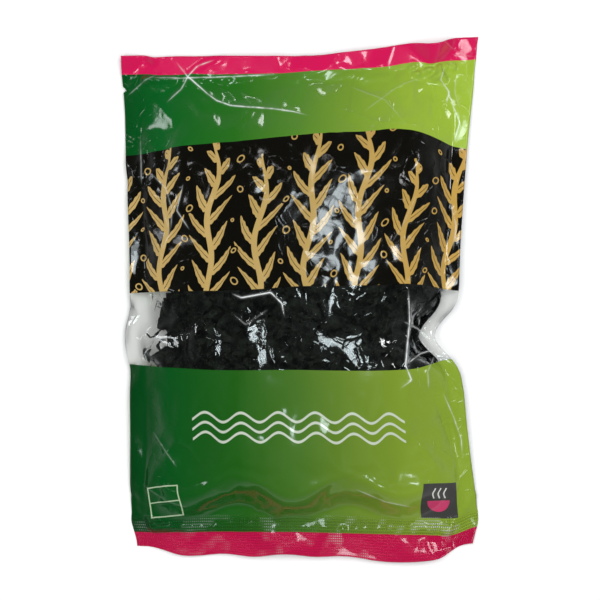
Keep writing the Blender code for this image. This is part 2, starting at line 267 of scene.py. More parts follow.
def finish_modifiers(piece):
    choose(piece)
    for name in [modifier.name for modifier in piece.modifiers]:
        bpy.ops.object.modifier_apply(modifier=name)


def corners_of(piece):
    spots = np.empty(len(piece.data.vertices) * 3, dtype=np.float32)
    piece.data.vertices.foreach_get("co", spots)
    return spots.reshape(-1, 3).astype(float)


def set_corners(piece, spots):
    piece.data.vertices.foreach_set("co", spots.astype(np.float32).ravel())
    piece.data.update()


def flat_sheet(name):
    """A flat sheet of film, cell for cell, with each corner's column and row kept as its place."""
    bpy.ops.object.select_all(action="DESELECT")
    bpy.ops.mesh.primitive_grid_add(x_subdivisions=COLUMNS, y_subdivisions=ROWS, size=1.0)
    sheet = bpy.context.object
    sheet.name = name
    spots = corners_of(sheet) + 0.5
    column = np.rint(spots[:, 0] * COLUMNS).astype(np.int32)
    row = np.rint(spots[:, 1] * ROWS).astype(np.int32)
    place = sheet.data.attributes.new("place", "INT", "POINT")
    place.data.foreach_set("value", column * (ROWS + 1) + row)
    return sheet


def places_of(piece):
    places = np.empty(len(piece.data.vertices), dtype=np.int32)
    piece.data.attributes["place"].data.foreach_get("value", places)
    return places


def lay(sheet, layout):
    set_corners(sheet, layout.reshape(-1, 3)[places_of(sheet)])


CROSSINGS = (COLUMNS + 1) * (ROWS + 1)
column_at, row_at = np.meshgrid(np.arange(COLUMNS + 1), np.arange(ROWS + 1), indexing="ij")
sealed = (
    (column_at <= SEAM_CELLS)
    | (column_at >= COLUMNS - SEAM_CELLS)
    | (row_at <= BANDS[0][1])
    | (row_at >= ROWS - BANDS[-1][1])
)


def envelope(front_layout, back_layout):
    """Both films as one closed skin, welded together over their seams."""
    front, back = flat_sheet("front skin"), flat_sheet("back skin")
    lay(front, front_layout)
    lay(back, back_layout)
    lost = sealed.ravel()[places_of(back)]
    choose(back)
    bpy.ops.object.mode_set(mode="EDIT")
    bpy.ops.mesh.select_mode(type="FACE")
    bpy.ops.mesh.select_all(action="DESELECT")
    bpy.ops.object.mode_set(mode="OBJECT")
    within_seams = [all(lost[corner] for corner in face.vertices) for face in back.data.polygons]
    back.data.polygons.foreach_set("select", within_seams)
    bpy.ops.object.mode_set(mode="EDIT")
    bpy.ops.mesh.delete(type="FACE")
    bpy.ops.mesh.select_all(action="SELECT")
    bpy.ops.mesh.flip_normals()
    bpy.ops.object.mode_set(mode="OBJECT")
    back_places = places_of(back) + CROSSINGS
    back.data.attributes["place"].data.foreach_set("value", back_places)
    choose(front)
    back.select_set(True)
    bpy.ops.object.join()
    bpy.ops.object.mode_set(mode="EDIT")
    bpy.ops.mesh.select_all(action="SELECT")
    bpy.ops.mesh.remove_doubles(threshold=0.02 * MM)
    bpy.ops.object.mode_set(mode="OBJECT")
    return front


SETTLE_STEPS = 16
MOST_MOVED = 4.0 * MM
SLACK_REACH = 22 * MM
FIRST_RIPPLE, RIPPLE_SCALE = 0.4 * MM, 85
FULL_SHARE, HELD, HARDLY_HELD = 0.74, 1.0, 0.02
LEAST_SHRUNK, MOST_SHRUNK = -0.01, -0.05
CLOTH = {
    "quality": 6,
    "mass": 0.02,
    "tension_stiffness": 40,
    "compression_stiffness": 40,
    "shear_stiffness": 12,
    "bending_stiffness": 0.003,
    "bending_damping": 0.5,
    "air_damping": 2,
    "shrink_min": LEAST_SHRUNK,
    "shrink_max": MOST_SHRUNK,
    "use_pressure": True,
    "uniform_pressure_force": 0.1,
}


def weigh(piece, name, weights):
    group = piece.vertex_groups.new(name=name)
    for corner, weight in enumerate(weights):
        group.add([corner], float(weight), "REPLACE")
    return name


def slack_of_grid():
    """How much each crossing of the grid is gathered: most by the seams, less by the top and the window."""
    from_side = np.minimum(column_at, COLUMNS - column_at) / COLUMNS * FLAT_WIDTH
    from_end = np.minimum(row_at, ROWS - row_at) / ROWS * FLAT_LENGTH
    side, end = bump(from_side, 0, SLACK_REACH), bump(from_end, 0, SLACK_REACH)
    slack = np.clip(np.maximum(side, end) - 0.75 * side * end, 0, 1)
    slack *= 1 - 0.6 * ramp(row_at, ROWS - 34, ROWS - 6)
    beside_window = ramp(row_at, WINDOW_ROWS[0] - 6, WINDOW_ROWS[0])
    beside_window = beside_window * ramp(row_at, WINDOW_ROWS[1] + 6, WINDOW_ROWS[1])
    return slack * (1 - beside_window * np.where(column_at < COLUMNS / 2, 0.9, 0.5))


def settled(front_layout, back_layout):
    """Both layouts after the films have buckled and settled over what they hold."""
    skin = envelope(front_layout, back_layout)
    places = places_of(skin)
    at, is_back = places % CROSSINGS, places >= CROSSINGS
    shape = corners_of(skin)
    share = fill_share(shape[:, 0], shape[:, 1])
    slack = slack_of_grid().ravel()[at] * np.where(is_back, 0.5, 1.0)
    ripple = [noise.noise(Vector(spot) * RIPPLE_SCALE + Vector((0, 0, 5.0 * back)))
              for spot, back in zip(shape, is_back)]
    shape[:, 2] += FIRST_RIPPLE * np.array(ripple)
    set_corners(skin, shape)
    film = skin.modifiers.new("settle", "CLOTH")
    settings = film.settings
    for name, value in CLOTH.items():
        setattr(settings, name, value)
    settings.effector_weights.gravity = 0
    resting = np.where(is_back & (share > FULL_SHARE), HELD, HARDLY_HELD)
    settings.vertex_group_mass = weigh(skin, "resting", resting)
    settings.vertex_group_shrink = weigh(skin, "slack", slack)
    settings.vertex_group_pressure = weigh(skin, "air", np.where(sealed.ravel()[at], 0.0, 1.0))
    film.collision_settings.use_collision = False
    for step in range(1, SETTLE_STEPS + 1):
        bpy.context.scene.frame_set(step)
    finish_modifiers(skin)
    moved = np.clip(corners_of(skin) - shape, -MOST_MOVED, MOST_MOVED) + shape
    bpy.context.scene.frame_set(1)
    bpy.data.objects.remove(skin)
    front, back = front_layout.reshape(-1, 3).copy(), back_layout.reshape(-1, 3).copy()
    front[at[~is_back]] = moved[~is_back]
    back[at[is_back]] = moved[is_back]
    in_seam = sealed.ravel()[at]
    front[at[in_seam]] = moved[in_seam]
    back[at[in_seam]] = moved[in_seam]
    return front.reshape(front_layout.shape), back.reshape(back_layout.shape)


DRIFT_ROUNDING = 7


def brought_back(layout, start, seam):
    """Undoes the slow drift of the outline while settling, so that its sides stay where they were."""
    drift = start - seam
    across = np.linspace(0, 1, COLUMNS + 1)[:, None]
    along = np.linspace(0, 1, ROWS + 1)[None, :]
    fitted = layout.copy()
    left, right = (rounded(drift[side, :, 0], DRIFT_ROUNDING) for side in (0, -1))
    low, high = (rounded(drift[:, end, 1], DRIFT_ROUNDING)[:, None] for end in (0, -1))
    fitted[..., 0] += left * (1 - across) + right * across
    fitted[..., 1] += low * (1 - along) + high * along
    return fitted


front_layout, back_layout = film_layout(front_height), film_layout(back_height)
back_layout = np.where(sealed[..., None], front_layout, back_layout)
outline = front_layout
settled_front, settled_back = settled(front_layout, back_layout)
front_layout = brought_back(settled_front, outline, settled_front)
back_layout = brought_back(settled_back, outline, settled_front)

# Creases in the film. Each has its points across and along in millimetres, how far it stands up, where
# a negative height is a fold that sinks in, how wide its slope is, and how strong the painted highlight
# along its line is.
CREASES = (
    (((-56.7, 108.4), (-50.6, 100.6), (-49.0, 99.4), (-41.8, 92.9), (-37.5, 89.6), (-31.0, 87.2),
      (-24.4, 86.6), (-13.5, 85.8), (-2.7, 84.2), (5.0, 82.1)), 0.5, 1.2, 0.9),
    (((-38.0, 108.4), (-46.4, 105.5), (-50.6, 100.6), (-53.5, 95.0), (-60.3, 88.6)), 0.5, 1.2, 0.6),
    (((-68.0, 100.2), (-52.0, 100.0), (-33.0, 100.6), (-9.0, 101.8)), 0.2, 1.0, 0.6),
    (((-72.0, 73.3), (-71.5, 62.0), (-71.2, 51.5)), 1.0, 1.6, 0.3),
    (((65.0, 105.0), (63.5, 99.4), (67.2, 94.0), (66.0, 88.0)), 0.6, 1.3, 0.7),
    (((70.5, 102.0), (69.8, 94.0), (72.0, 86.0)), -0.5, 1.3, 0.2),
    (((67.0, 45.0), (70.2, 34.0), (68.8, 22.0)), 0.6, 1.4, 0.3),
    (((48.2, 5.6), (49.0, -9.5), (47.0, -29.1), (49.7, -35.8), (44.1, -39.9)), 1.0, 1.1, 0.9),
    (((59.9, -20.1), (53.0, -13.0), (46.0, -9.4)), 0.8, 1.2, 0.3),
    (((60.5, -22.5), (54.0, -24.0), (47.0, -29.0)), -0.7, 1.4, 0.4),
    (((60.5, -25.0), (57.0, -32.0), (57.5, -40.0)), 0.6, 1.4, 0.3),
    (((63.9, -41.2), (69.3, -53.1), (72.6, -62.8), (73.2, -71.7)), 0.9, 1.6, 0.4),
    (((60.5, -45.0), (65.0, -58.0), (69.5, -70.0)), -0.7, 1.6, 0.0),
    (((-66.2, -58.8), (-60.0, -68.0), (-55.0, -75.0)), 0.5, 1.5, 0.15),
    (((-58.0, -62.0), (-50.0, -66.0), (-44.0, -74.0)), 0.3, 2.0, 0.0),
    (((-30.0, -6.0), (-24.0, -11.0), (-14.0, -4.0)), 0.5, 1.2, 0.1),
    (((-30.6, 3.0), (-26.0, 1.0), (-13.0, 3.4), (-8.0, -1.5), (-6.8, -8.0)), 0.6, 1.0, 0.7),
    (((-62.0, 42.0), (-58.0, 30.0), (-63.0, 20.0)), 0.4, 1.2, 0.15),
    (((-52.0, 52.0), (-55.0, 40.0), (-49.0, 31.0)), 0.4, 1.2, 0.4),
    (((12.0, 88.0), (34.0, 80.0), (58.0, 78.0)), 0.2, 1.6, 0.0),
    (((22.0, 96.0), (38.0, 90.0), (48.0, 78.0)), 0.2, 1.6, 0.1),
    (((56.0, 101.0), (44.0, 96.0), (28.0, 84.0)), 0.25, 1.6, 0.1),
    (((40.0, 24.0), (47.0, 36.0), (52.0, 47.0)), 0.4, 1.4, 0.1),
    (((-68.0, 58.0), (-60.0, 50.0), (-57.0, 40.0), (-58.0, 30.0)), 0.4, 1.3, 0.3),
    (((-78.0, 92.0), (-70.0, 99.0), (-64.0, 102.0)), 0.3, 1.4, 0.2),
    (((-71.0, -83.0), (-60.0, -90.0), (-50.0, -93.0)), 0.4, 1.4, 0.1),
    (((52.0, -93.0), (38.0, -90.0), (24.0, -84.0)), 0.3, 1.2, 0.3),
    (((66.0, 96.0), (72.0, 80.0), (69.0, 70.0)), 0.3, 1.3, 0.5),
    (((62.0, 119.0), (69.0, 113.5), (75.0, 110.5), (83.0, 109.5)), 0.7, 2.4, 0.1),
)
CREASE_LAYERS = 3


def beside_crease(flat, points):
    """How far each spot is to one side of a crease, and 1 beside its middle but 0 at its ends."""
    beside, share = np.full(len(flat), 1e9), np.zeros(len(flat))
    walked, whole = 0.0, sum(math.dist(a, b) for a, b in zip(points, points[1:]))
    for start, end in zip(points, points[1:]):
        start, run = np.array(start), np.array(end) - np.array(start)
        length = np.hypot(*run)
        t = np.clip((flat - start) @ run / length**2, 0, 1)
        off = flat - start - t[:, None] * run
        side = np.where(run[0] * off[:, 1] < run[1] * off[:, 0], -1.0, 1.0)
        distance = np.hypot(off[:, 0], off[:, 1])
        closer = distance < np.abs(beside)
        beside[closer] = (side * distance)[closer]
        share[closer] = (walked + t[closer] * length) / whole
        walked += length
    return beside, ramp(np.minimum(share, 1 - share), 0.0, 0.2)


def add_creases(spots):
    """How far the creases lift each spot."""
    lift = np.zeros(len(spots))
    for points, height, width, painted_gleam in CREASES:
        beside, fade = beside_crease(spots[:, :2] / MM, points)
        lift += height * MM * fade * np.exp(-np.abs(beside) / width)
    return lift


def mark_creases(sheet):
    """Notes each corner's way to its nearest crease and how strong the painted highlight along it is, so
    that the film can be given a sharp line there.
    """
    flat = corners_of(sheet)[:, :2] / MM
    for layer in range(CREASE_LAYERS):
        nearest = np.zeros((len(flat), 3))
        nearest[:, 0] = 99.0
        for points, height, width, painted_gleam in CREASES[layer::CREASE_LAYERS]:
            beside, fade = beside_crease(flat, points)
            closer = np.abs(beside) < np.abs(nearest[:, 0])
            fade = fade * ramp(np.abs(beside), 5.0, 3.0)
            found = np.stack([beside, math.copysign(1, height) * fade, painted_gleam * fade], axis=1)
            nearest[closer] = found[closer]
        mark = sheet.data.attributes.new(f"crease {layer}", "FLOAT_VECTOR", "POINT")
        mark.data.foreach_set("vector", nearest.astype(np.float32).ravel())


# Places where the film is pushed in so that it lies at another slope: the middle and half the size of
# each in millimetres, and how much it rises to the right and to the top.
DENTS = (
    ((-19.6, -18.3), (7.5, 15.0), -0.14, -0.04),
    ((-39.4, -19.2), (8.5, 9.5), -0.24, -0.12),
    ((-73.5, 62.0), (3.5, 11.0), 0.0, -0.10),
    ((11.5, 31.0), (10.0, 7.5), -0.07, -0.03),
    ((19.0, 15.0), (12.0, 3.5), -0.05, -0.035),
    ((44.0, 23.0), (5.0, 9.0), 0.02, -0.14),
    ((-9.0, 52.0), (8.0, 7.0), 0.11, 0.0),
    ((3.0, -54.0), (12.0, 11.0), 0.11, 0.0),
    ((-10.0, -58.0), (7.0, 8.0), 0.10, 0.0),
)


def add_dents(spots):
    """How far the pushed-in places lift each spot."""
    lift = np.zeros(len(spots))
    for (x, y), (half_width, half_height), right, up in DENTS:
        across, along = spots[:, 0] / MM - x, spots[:, 1] / MM - y
        edge = np.exp(-(across / half_width) ** 4 - (along / half_height) ** 4)
        lift += (across * right + along * up) * edge * MM
    return lift


def cells_from_seam(sheet):
    """How many cells of the film each corner lies inside its seams, and 0 on them."""
    film = sheet.data.uv_layers["film"].data
    share = np.zeros((len(sheet.data.vertices), 2))
    for loop, corner in zip(sheet.data.loops, film):
        share[loop.vertex_index] = corner.uv
    across, along = share[:, 0] * COLUMNS, share[:, 1] * ROWS
    inside = np.minimum(np.minimum(across, COLUMNS - across) - SEAM_CELLS,
                        np.minimum(along - BANDS[0][1], ROWS - BANDS[-1][1] - along))
    return np.where(inside > 0.1, inside, 0.0)


def cut_tear_notch(spots):
    """Draws the left edge in to a small V at the tear notch."""
    beside = spots[:, 0] - left_edge(spots[:, 1])
    depth = NOTCH_DEPTH * np.clip(1 - np.abs(spots[:, 1] - NOTCH_Y) / NOTCH_HALF_WIDTH, 0, 1)
    spots[:, 0] += depth * np.clip(1 - beside / NOTCH_FADE, 0, 1)


def skin_of(piece):
    """The piece's surface, to measure against."""
    faces = [tuple(face.vertices) for face in piece.data.polygons]
    return BVHTree.FromPolygons([tuple(corner.co) for corner in piece.data.vertices], faces)


def first_hit(skin, x, y, from_above):
    """Height of the first point of the skin that is met over this spot, or None beside it."""
    start, way = (0.1, -1) if from_above else (-0.1, 1)
    hit = skin.ray_cast(Vector((x, y, start)), Vector((0, 0, way)))[0]
    return hit.z if hit else None


PARTED = 0.3 * MM
STEP_ASIDE = 0.8 * MM
NEARBY = ((0, 0), (1, 0), (-1, 0), (0, 1), (0, -1))


def lowest_roof(skin, x, y):
    """The lowest height of the skin over this spot and just beside it."""
    hits = [first_hit(skin, x + right * STEP_ASIDE, y + up * STEP_ASIDE, False) for right, up in NEARBY]
    return min((hit for hit in hits if hit is not None), default=1.0)


def part_from(front, spots, from_seam):
    """Lets the back film leave the seams straight below the front film, and stay below it."""
    over = corners_of(front)
    beside = ramp(from_seam, 0.0, 4.0)[:, None]
    spots[:, :2] = over[:, :2] * (1 - beside) + spots[:, :2] * beside
    spots[:, 2] = np.minimum(spots[:, 2], over[:, 2] - PARTED * ramp(from_seam, 0.0, 1.0))
    skin = skin_of(front)
    for index in np.flatnonzero(from_seam > 0):
        roof = lowest_roof(skin, spots[index, 0], spots[index, 1])
        spots[index, 2] = min(spots[index, 2], roof - PARTED)


def film_piece(name, layout, front=None):
    """A film, its printed bands in one slot and its clear band in the other, before it has a thickness."""
    sheet = flat_sheet(name)
    lay(sheet, layout)
    rows = row_at.ravel()[places_of(sheet)]
    lowest = [min(rows[corner] for corner in face.vertices) for face in sheet.data.polygons]
    window = [WINDOW_ROWS[0] <= row < WINDOW_ROWS[1] for row in lowest]
    sheet.data.materials.append(None)
    sheet.data.materials.append(None)
    sheet.data.polygons.foreach_set("material_index", np.array(window, dtype=np.int32))
    sheet.data.uv_layers[0].name = "film"
    finer = sheet.modifiers.new("finer", "SUBSURF")
    finer.levels = finer.render_levels = 1
    finer.uv_smooth = "NONE"
    finer.boundary_smooth = "PRESERVE_CORNERS"
    finish_modifiers(sheet)
    spots = corners_of(sheet)
    from_seam = cells_from_seam(sheet)
    creases = add_creases(spots) + add_dents(spots)
    if front is None:
        spots[:, 2] += creases
    else:
        spots[:, 2] += creases * (from_seam == 0)
        part_from(front, spots, from_seam)
    spots[:, 2] = np.maximum(spots[:, 2], FILM + FILM_GAP)
    cut_tear_notch(spots)
    set_corners(sheet, spots)
    mark_creases(sheet)
    return sheet


def give_thickness(sheet, facing_up):
    """Turns a film's sheet into a thin closed one, on its own side of the seam's middle."""
    outward = np.empty(len(sheet.data.vertices) * 3, dtype=np.float32)
    sheet.data.vertices.foreach_get("normal", outward)
    away = FILM_GAP / 2 if facing_up else -FILM_GAP / 2
    set_corners(sheet, corners_of(sheet) + outward.reshape(-1, 3) * away)
    if not facing_up:
        choose(sheet)
        bpy.ops.object.mode_set(mode="EDIT")
        bpy.ops.mesh.select_all(action="SELECT")
        bpy.ops.mesh.flip_normals()
        bpy.ops.object.mode_set(mode="OBJECT")
    gauge = sheet.modifiers.new("gauge", "SOLIDIFY")
    gauge.thickness = FILM
    gauge.offset = 1.0
    finish_modifiers(sheet)
    sheet.data.attributes.remove(sheet.data.attributes["place"])
    shade_smooth(sheet)


front_film = film_piece("film_front", front_layout)
back_film = film_piece("film_back", back_layout, front_film)
front_skin, back_skin = skin_of(front_film), skin_of(back_film)
give_thickness(front_film, True)
give_thickness(back_film, False)


def room_at(x, y):
    """Lowest and highest point between the films over this spot."""
    below, above = first_hit(back_skin, x, y, True), first_hit(front_skin, x, y, False)
    if above is None or below is None:
        return SEAM_HEIGHT, SEAM_HEIGHT
    return below, above


CLEAR = 0.35 * MM
CLEAR_OF_SEAM = 1.2 * MM


def keep_between_films(piece, clearance):
    """Presses whatever would touch the film back inside it."""
    inside = SIDE_SEAL + CLEAR_OF_SEAM
    for corner in piece.data.vertices:
        x, y = corner.co.x, corner.co.y
        corner.co.x = min(max(x, left_edge(y) + inside), right_edge(y) - inside)
        low, high = room_at(corner.co.x, corner.co.y)
        low, high = low + clearance, high - clearance
        if low > high:
            low = high = (low + high) / 2
        corner.co.z = min(max(corner.co.z, low), high)
    piece.data.update()


HEAP_LEFT, HEAP_RIGHT = -58.5 * MM, 61.5 * MM
HEAP_BASE, HEAP_HEAD = -92.0 * MM, 84.0 * MM
HEAP_OFF_SEAM = 2.5 * MM
HEAP_SQUARENESS, HEAP_STEEPNESS = 0.75, 0.45
HEAP_SINK, HEAP_LUMPS, HEAP_LUMP_SCALE = 1.3 * MM, 2.2 * MM, 160
HEAP_THINNEST = 0.4 * MM
RAGGED, RAGGED_SCALE, BAY, BAY_Y, BAY_SPREAD = 4.5 * MM, 130, 3.5 * MM, -31 * MM, 7 * MM


def ragged_edge(y):
    """How far the left edge of the heap lies to the right of its even line."""
    coarse = noise.noise(Vector((0.3, y * RAGGED_SCALE, 4.0)))
    fine = noise.noise(Vector((0.3, y * 3 * RAGGED_SCALE, 9.0)))
    return RAGGED * (coarse + 0.6 * fine) - BAY * bump(y, BAY_Y, BAY_SPREAD)


def heap_core():
    """The body of the heap: a ball pressed out between the films, lumpy all over."""
    bpy.ops.object.select_all(action="DESELECT")
    bpy.ops.mesh.primitive_uv_sphere_add(segments=160, ring_count=96, radius=1.0)
    core = bpy.context.object
    core.name = "heap"
    centre = ((HEAP_LEFT + HEAP_RIGHT) / 2, (HEAP_BASE + HEAP_HEAD) / 2)
    reach = ((HEAP_RIGHT - HEAP_LEFT) / 2, (HEAP_HEAD - HEAP_BASE) / 2)
    for corner in core.data.vertices:
        out = Vector(corner.co[:2])
        far = max(abs(out.x), abs(out.y))
        squared = out * (out.length / far) ** HEAP_SQUARENESS if far > 1e-6 else out
        x, y = centre[0] + reach[0] * squared.x, centre[1] + reach[1] * squared.y
        x += ragged_edge(y) * max(-squared.x, 0) ** 4
        x = min(x, right_edge(y) - SIDE_SEAL - HEAP_OFF_SEAM)
        low, high = room_at(x, y)
        lump = noise.turbulence(Vector((x, y, corner.co.z * 0.01)) * HEAP_LUMP_SCALE, 3, False)
        sink = HEAP_SINK + HEAP_LUMPS * abs(lump)
        half = max((high - low) / 2 - sink, HEAP_THINNEST)
        rise = math.copysign(abs(corner.co.z) ** HEAP_STEEPNESS, corner.co.z)
        corner.co = (x, y, (low + high) / 2 + half * rise)
    core.data.update()
    shade_smooth(core)
    return core


FLAKE_THICKNESS = 0.35 * MM


def flake_pattern(number, length, width, cells, curl, twist):
    """One flake of dried seaweed, curled along its length and crumpled, with a wavy edge."""
    bpy.ops.object.select_all(action="DESELECT")
    bpy.ops.mesh.primitive_grid_add(x_subdivisions=cells, y_subdivisions=2, size=1.0)
    flake = bpy.context.object
    flake.name = f"flake pattern {number}"
    for corner in flake.data.vertices:
        along, across = corner.co.x, corner.co.y
        taper = 1 - 0.75 * abs(2 * along) ** 3
        edge = 1 + 0.35 * noise.noise(Vector((along * 9, across * 2, number * 3.7)))
        angle = curl * along + 0.6 * math.sin(along * 7 + number)
        spin = twist * along + 0.5 * noise.noise(Vector((along * 5, 0, number * 1.3)))
        half = across * width * taper * edge
        cup = 0.35 * width * (2 * across) ** 2 * math.cos(along * 5 + number)
        radius = length / max(abs(curl), 0.4)
        spine = Vector((radius * math.sin(angle * 0.8), 0, radius * (1 - math.cos(angle * 0.8))))
        rib = Vector((0, math.cos(spin), math.sin(spin))) * half
        corner.co = spine + rib + Vector((0, 0, cup))
    leaf = flake.modifiers.new("leaf", "SOLIDIFY")
    leaf.thickness = FLAKE_THICKNESS
    leaf.offset = 0.0
    finish_modifiers(flake)
    shade_smooth(flake)
    return flake


# Length, width, cells, curl and twist of each kind of flake
FLAKE_KINDS = (
    (9.0 * MM, 2.6 * MM, 7, 2.4, 1.0),
    (16.0 * MM, 2.4 * MM, 10, 3.4, 2.2),
    (11.0 * MM, 6.0 * MM, 9, 1.3, 0.5),
    (15.0 * MM, 1.2 * MM, 10, 4.6, 3.4),
    (17.0 * MM, 7.5 * MM, 12, 1.0, 0.4),
    (13.0 * MM, 4.4 * MM, 9, 2.2, -1.2),
)
FRONT_FLAKES, BACK_FLAKES = 620, 420
FRONT_SHARES, BACK_SHARES = (0.72, 0.99), (0.02, 0.3)
FLAKES_FROM_Y, FLAKES_TO_Y = -36 * MM, 10 * MM
LEAST_ROOM = 1.2 * MM
FLAKE_TILT, FLAKE_PITCH = 0.45, 0.35
SMALLEST_FLAKE, LARGEST_FLAKE = 0.65, 1.15
SEED = 11


def scattered_flakes(patterns, count, shares, seed):
    """Flakes over the clear band, each at a share of the height between the films."""
    rng = random.Random(seed)
    copies = []
    while len(copies) < count:
        x = rng.uniform(HEAP_LEFT - 4 * MM, HEAP_RIGHT + 5 * MM)
        y = rng.uniform(FLAKES_FROM_Y, FLAKES_TO_Y)
        low, high = room_at(x, y)
        beside_heap = x < HEAP_LEFT + 2 * MM + ragged_edge(y) or x > right_edge(y) - SIDE_SEAL
        if high - low < LEAST_ROOM or beside_heap:
            continue
        z = low + (high - low) * rng.uniform(*shares)
        turn = Euler((rng.gauss(0, FLAKE_TILT), rng.gauss(0, FLAKE_PITCH), rng.uniform(0, 2 * math.pi)))
        size = Matrix.Scale(rng.uniform(SMALLEST_FLAKE, LARGEST_FLAKE), 4)
        pattern = patterns[rng.randrange(len(patterns))]
        copies.append(pattern.data.copy())
        copies[-1].transform(Matrix.Translation((x, y, z)) @ turn.to_matrix().to_4x4() @ size)
    return copies


def join_meshes(name, meshes):
    pieces = []
    for mesh in meshes:
        pieces.append(bpy.data.objects.new(name, mesh))
        bpy.context.scene.collection.objects.link(pieces[-1])
    choose(pieces[0])
    for piece in pieces:
        piece.select_set(True)
    bpy.ops.object.join()
    return pieces[0]


patterns = [flake_pattern(number, *kind) for number, kind in enumerate(FLAKE_KINDS)]
front_flakes = join_meshes("flakes_front", scattered_flakes(patterns, FRONT_FLAKES, FRONT_SHARES, SEED))
back_flakes = join_meshes("flakes_back", scattered_flakes(patterns, BACK_FLAKES, BACK_SHARES, SEED + 1))
heap = heap_core()
for pile in (heap, front_flakes, back_flakes):
    keep_between_films(pile, CLEAR)


THREAD_THICKNESS = 0.6 * MM


def loose_flake(name, width, points):
    """A curled thread of seaweed that lies by itself, along points given in millimetres."""
    bpy.ops.object.select_all(action="DESELECT")
    cells = 6 * (len(points) - 1)
    bpy.ops.mesh.primitive_cylinder_add(vertices=8, radius=0.5, depth=1.0, end_fill_type="TRIFAN")
    thread = bpy.context.object
    thread.name = name
    bpy.ops.object.mode_set(mode="EDIT")
    bpy.ops.mesh.select_all(action="SELECT")
    for cut in range(1, cells):
        bpy.ops.mesh.select_all(action="SELECT")
        bpy.ops.mesh.bisect(plane_co=(0, 0, cut / cells - 0.5), plane_no=(0, 0, 1))
    bpy.ops.object.mode_set(mode="OBJECT")
    path = np.array(points) * MM
    steps = np.linspace(0, 1, len(path))
    for corner in thread.data.vertices:
        t = corner.co.z + 0.5
        behind, here, ahead = (
            np.array([np.interp(share, steps, path[:, axis]) for axis in range(2)])
            for share in (max(t - 0.05, 0), t, min(t + 0.05, 1))
        )
        way = (ahead - behind) / np.hypot(*(ahead - behind))
        girth = width * MM * (0.45 + 0.55 * math.sin(math.pi * min(max(t, 0.08), 0.92)))
        girth *= 1 + 0.3 * math.sin(17 * t + len(points))
        low, high = room_at(*here)
        middle = (low + high) / 2 + 0.2 * (high - low) * math.sin(5 * t)
        flat = here + np.array([-way[1], way[0]]) * corner.co.x * girth
        corner.co = (flat[0], flat[1], middle + corner.co.y * THREAD_THICKNESS)
    thread.data.update()
    keep_between_films(thread, CLEAR)
    shade_smooth(thread)
    return thread


strand = loose_flake("loose_strand", 1.0, (
    (-69.0, -15.0), (-67.4, -16.8), (-65.4, -16.4), (-63.5, -14.2), (-61.8, -12.6), (-60.2, -10.4)))
curl = loose_flake("loose_curl", 1.2, (
    (-61.0, -7.5), (-63.4, -9.0), (-63.6, -12.2), (-61.2, -13.4), (-60.2, -10.8)))
ring = loose_flake("loose_ring", 1.3, (
    (-60.4, -18.0), (-62.6, -18.2), (-64.0, -20.6), (-62.8, -23.0), (-60.6, -23.4)))
hook = loose_flake("loose_hook", 1.5, (
    (-67.0, -22.0), (-68.4, -23.6), (-67.8, -26.0), (-65.6, -27.4), (-63.6, -29.6)))
for pattern in patterns:
    bpy.data.objects.remove(pattern)


class Field:
    """A value that changes over a surface, so that a pattern can be written down as a sum."""

    def __init__(self, tree, socket):
        self.tree = tree
        self.socket = socket

    def step(self, operation, *others, clamp=False):
        node = self.tree.nodes.new("ShaderNodeMath")
        node.operation = operation
        node.use_clamp = clamp
        for slot, value in zip(node.inputs, (self, *others)):
            if isinstance(value, Field):
                self.tree.links.new(value.socket, slot)
            else:
                slot.default_value = value
        return Field(self.tree, node.outputs[0])

    def __add__(self, other):
        return self.step("ADD", other)

    def __sub__(self, other):
        return self.step("SUBTRACT", other)

    def __rsub__(self, other):
        return self * -1.0 + other

    def __mul__(self, other):
        return self.step("MULTIPLY", other)

    def __truediv__(self, other):
        return self.step("DIVIDE", other)

    def size(self):
        return self.step("ABSOLUTE")

    def sine(self):
        return self.step("SINE")

    def at_least(self, other):
        return self.step("MAXIMUM", other)

    def at_most(self, other):
        return self.step("MINIMUM", other)

    def whole(self):
        return self.step("FLOOR")

    def wrapped(self, length):
        """The same value counted from the middle of the repeat that it falls in."""
        return self.step("ADD", length / 2).step("FLOORED_MODULO", length) - length / 2

    def inside(self, blur):
        """1 where the value is above 0 and 0 where it is below, over a soft edge."""
        return self.step("DIVIDE", blur).step("ADD", 0.5, clamp=True)


def node(tree, kind, **values):
    """Adds a node and sets its fields."""
    made = tree.nodes.new(kind)
    for name, value in values.items():
        setattr(made, name, value)
    return made


def feed(tree, slot, value):
    if isinstance(value, Field):
        tree.links.new(value.socket, slot)
    elif isinstance(value, bpy.types.NodeSocket):
        tree.links.new(value, slot)
    else:
        slot.default_value = value


def set_inputs(shader, **values):
    """Sets inputs to uniform values, by their names with an underscore for each space."""
    for name, value in values.items():
        shader.inputs[name.replace("_", " ")].default_value = value


def shade(red, green, blue):
    """A colour given as it looks on a screen, 0 to 255."""
    channels = [value / 255 for value in (red, green, blue)]
    linear = [c / 12.92 if c <= 0.04045 else ((c + 0.055) / 1.055) ** 2.4 for c in channels]
    return (*linear, 1.0)


def new_group(name, inputs, outputs):
    group = bpy.data.node_groups.new(name, "ShaderNodeTree")
    for label, kind, default in inputs:
        socket = group.interface.new_socket(label, in_out="INPUT", socket_type=kind)
        if default is not None:
            socket.default_value = default
    for label, kind in outputs:
        group.interface.new_socket(label, in_out="OUTPUT", socket_type=kind)
    start = group.nodes.new("NodeGroupInput")
    end = group.nodes.new("NodeGroupOutput")
    fields = {label: Field(group, start.outputs[label]) for label, kind, default in inputs}
    return group, fields, end


def use_group(tree, group, **values):
    made = tree.nodes.new("ShaderNodeGroup")
    made.node_tree = group
    for label, value in values.items():
        feed(tree, made.inputs[label.replace("_", " ")], value)
    return made


